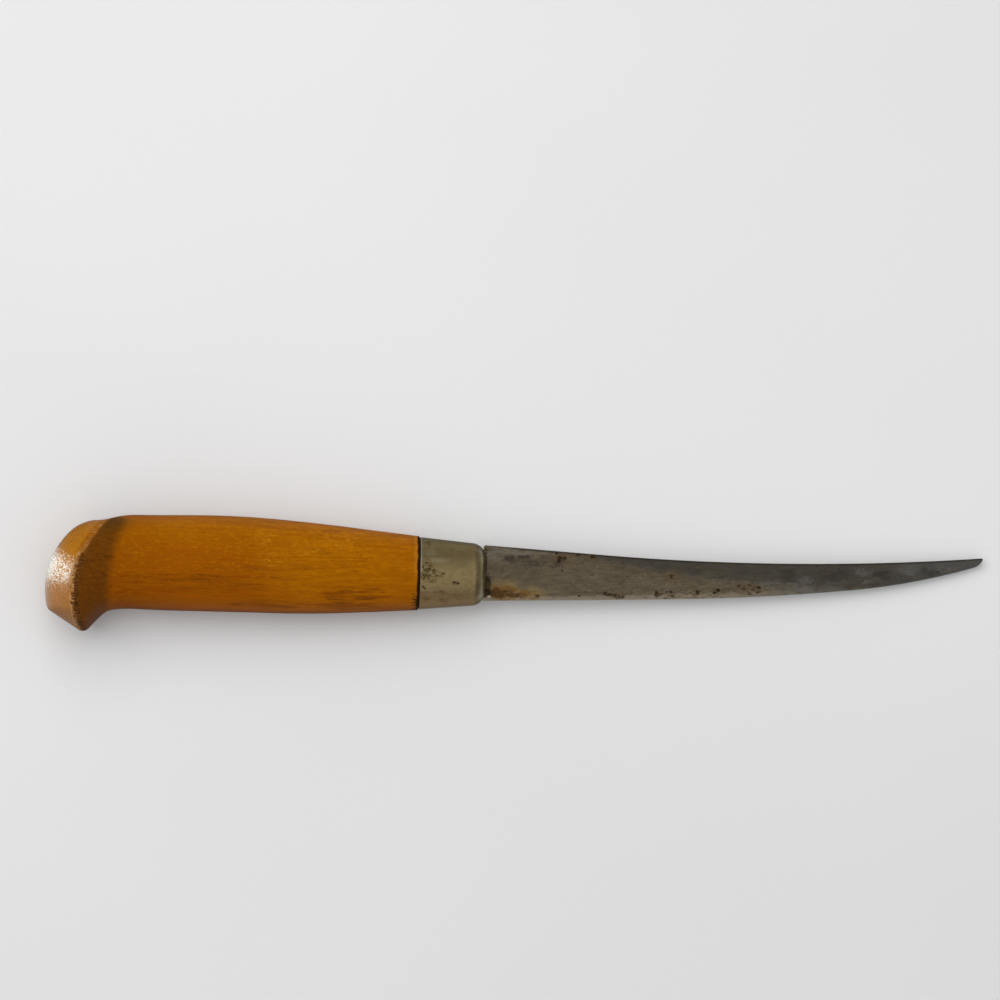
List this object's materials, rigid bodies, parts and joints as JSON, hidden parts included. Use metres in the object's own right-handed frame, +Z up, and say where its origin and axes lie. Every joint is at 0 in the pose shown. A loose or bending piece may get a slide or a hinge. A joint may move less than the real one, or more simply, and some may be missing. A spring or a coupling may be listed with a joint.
{
  "type": "fillet knife",
  "caption": "Fillet knife with a slim upswept blade, a drawn metal ferrule and an oval varnished birch handle with a coved neck, domed butt and hooked beak.",
  "frame": {"origin": "on the ground under the middle of the knife's bounding box, the knife lying on its side", "axes": "+X from the butt to the tip, +Y towards the spine, +Z up through the thickness"},
  "size_m": [0.2876, 0.0364, 0.0252],
  "materials": {
    "blade_steel": "satin, stained and worn",
    "nickel_silver": "dull, tarnished grey",
    "varnished_birch": "amber gloss varnish, worn on the butt's ridge",
    "tang_cement": "matt, hidden"
  },
  "bodies": {
    "root": {"blade": "blade_steel", "ferrule": "nickel_silver", "handle": "varnished_birch", "tang_cement": "tang_cement"}
  },
  "joints": []
}
